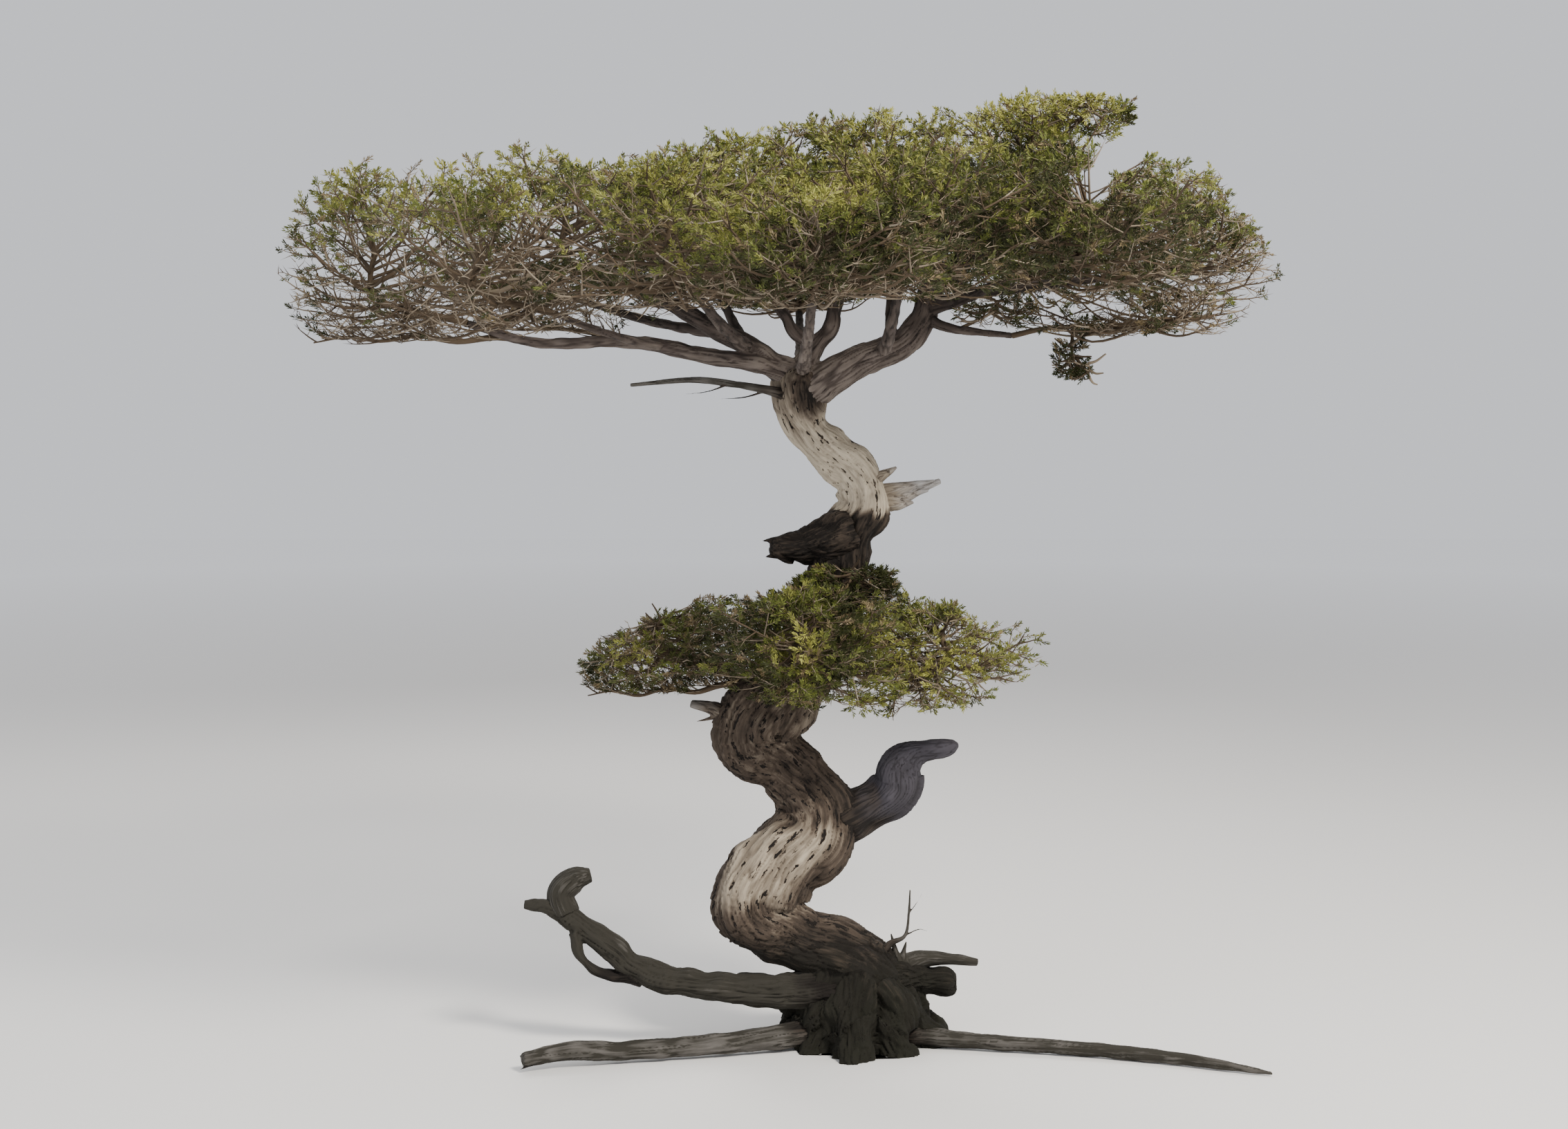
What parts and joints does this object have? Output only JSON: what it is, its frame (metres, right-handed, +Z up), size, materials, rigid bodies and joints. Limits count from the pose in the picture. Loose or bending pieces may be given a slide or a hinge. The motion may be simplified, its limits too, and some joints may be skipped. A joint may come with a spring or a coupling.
{
  "type": "juniper tree",
  "caption": "Wind-shaped coast juniper with a stout zigzag trunk, bleached dead limbs, a skirt of foliage and a flat umbrella crown on spreading boughs.",
  "frame": {"origin": "middle of the trunk's flat cut at ground level", "axes": "+Z up; +X to the viewer's right, where the trunk's thumb-shaped dead limb points; +Y away from the viewer"},
  "size_m": [4.0711, 3.401, 3.9399],
  "materials": {
    "bark": "fibrous furrowed bark, grey-brown, paler where the sun and wind have worn it",
    "dead_wood": "bare weathered wood, silver-grey and cracked along the grain",
    "foliage": "matt scale-leaved sprays, dark green to olive, yellow-green at the top"
  },
  "bodies": {
    "root": {"trunk": "bark", "dead_limb_right": "dead_wood", "dead_limb_left": "dead_wood", "dead_horn_left": "dead_wood", "root_stub_right": "dead_wood", "root_spike_right": "dead_wood", "dead_twig_right": "dead_wood", "neck_stub_left": "dead_wood", "knee_stub_right": "dead_wood", "shoulder_stub_left": "dead_wood", "dead_branch_left": "dead_wood", "surface_root_right": "dead_wood", "surface_root_left": "dead_wood", "bough_east_top": "bark", "bough_west_upper": "bark", "bough_west_tip": "bark", "bough_mid_east": "bark", "bough_mid_west": "bark", "bough_east_tip": "bark", "bough_east_low": "bark", "bough_mid_front": "bark", "bough_front_far": "bark", "bough_front_east": "bark", "bough_east_front": "bark", "bough_west_front": "bark", "bough_mid_back": "bark", "bough_back_east": "bark", "bough_east_back": "bark", "bough_back_far": "bark", "bough_west_back": "bark", "crown_east_top": "foliage", "crown_west_upper": "foliage", "crown_west_tip": "foliage", "crown_mid_east": "foliage", "crown_mid_west": "foliage", "crown_east_tip": "foliage", "crown_east_low": "foliage", "crown_mid_front": "foliage", "crown_front_far": "foliage", "crown_front_east": "foliage", "crown_east_front": "foliage", "crown_west_front": "foliage", "crown_mid_back": "foliage", "crown_back_east": "foliage", "crown_east_back": "foliage", "crown_back_far": "foliage", "crown_west_back": "foliage", "skirt_west": "foliage", "skirt_front": "foliage", "skirt_east": "foliage", "skirt_back": "foliage"}
  },
  "joints": []
}
